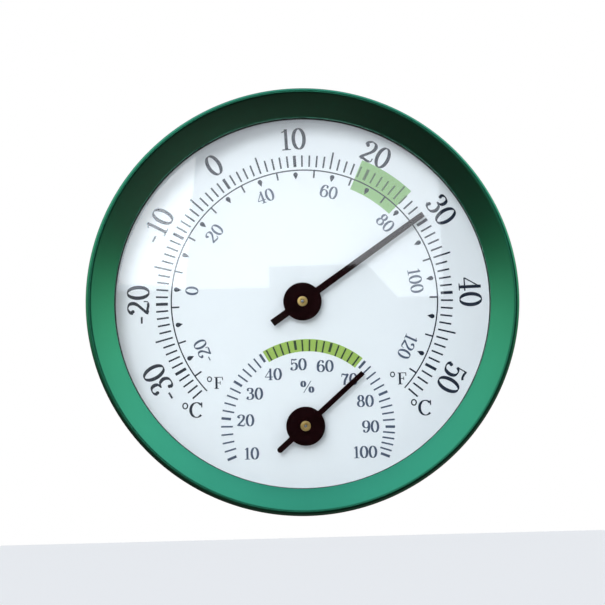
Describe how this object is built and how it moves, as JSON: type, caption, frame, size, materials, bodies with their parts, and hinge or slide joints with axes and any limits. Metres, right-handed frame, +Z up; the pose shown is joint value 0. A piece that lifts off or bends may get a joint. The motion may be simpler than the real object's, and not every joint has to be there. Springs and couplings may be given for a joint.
{
  "type": "dial thermo-hygrometer",
  "caption": "Round wall thermo-hygrometer: metal case with a funnel bezel behind which temperature and humidity hands turn over one white dial under glass.",
  "frame": {"origin": "where the case axis meets the wall, in the plane of the flat back", "axes": "dial faces -Y, the wall lies on the +Y side, +Z is up the dial, +X is to the right of the dial"},
  "size_m": [0.13, 0.025, 0.13],
  "materials": {
    "anodised_case": "green anodised aluminium, fine satin",
    "seal_rubber": "black rubber",
    "lens_glass": "clear float glass",
    "spacer_plastic": "white moulded plastic",
    "dial_enamel": "white enamel with dark and grey print",
    "cover_plastic": "black moulded plastic, fine spark-eroded grain",
    "screw_steel": "zinc-plated steel",
    "bush_brass": "turned brass",
    "frame_steel": "zinc-plated steel strip",
    "washer_steel": "spring steel",
    "adjuster_brass": "turned brass",
    "arbor_steel": "ground steel",
    "collet_brass": "turned brass",
    "pointer_black": "black lacquer, semi-gloss",
    "bimetal_strip": "rolled bimetal strip",
    "humidity_strip": "metal strip with a humidity-sensitive coat"
  },
  "bodies": {
    "case": {"case_shell": "anodised_case", "lens_seal": "seal_rubber", "lens": "lens_glass", "spacer_ring": "spacer_plastic", "dial_plate": "dial_enamel", "back_cover": "cover_plastic", "case_screws": "screw_steel", "thermo_bush": "bush_brass", "thermo_frame": "frame_steel", "hygro_bush": "bush_brass", "hygro_frame": "frame_steel"},
    "thermo_setting": {"thermo_friction_washer": "washer_steel", "thermo_adjuster": "adjuster_brass", "thermo_anchor_arm": "frame_steel", "thermo_coil": "bimetal_strip"},
    "thermo_hand": {"thermo_coil_hub": "bush_brass", "thermo_arbor": "arbor_steel", "thermo_collet": "collet_brass", "thermo_pointer": "pointer_black"},
    "hygro_setting": {"hygro_friction_washer": "washer_steel", "hygro_adjuster": "adjuster_brass", "hygro_anchor_arm": "frame_steel", "hygro_coil": "humidity_strip"},
    "hygro_hand": {"hygro_coil_hub": "bush_brass", "hygro_arbor": "arbor_steel", "hygro_collet": "collet_brass", "hygro_pointer": "pointer_black"}
  },
  "joints": [
    {"name": "thermo_calibration", "type": "hinge", "parent": "case", "child": "thermo_setting", "pos_m": [0, -0.004, 0], "axis": [0, 1, 0], "range_deg": [-15, 15]},
    {"name": "thermo_reading", "type": "hinge", "parent": "thermo_setting", "child": "thermo_hand", "pos_m": [0, -0.014, 0], "axis": [0, 1, 0], "range_deg": [-184, 75], "stiffness_Nm_per_rad": 0.004, "deforming": ["thermo_coil"]},
    {"name": "hygro_calibration", "type": "hinge", "parent": "case", "child": "hygro_setting", "pos_m": [0, -0.004, -0.0382], "axis": [0, 1, 0], "range_deg": [-15, 15]},
    {"name": "hygro_reading", "type": "hinge", "parent": "hygro_setting", "child": "hygro_hand", "pos_m": [0, -0.014, -0.0382], "axis": [0, 1, 0], "range_deg": [-160, 63], "stiffness_Nm_per_rad": 0.0006, "deforming": ["hygro_coil"]}
  ]
}
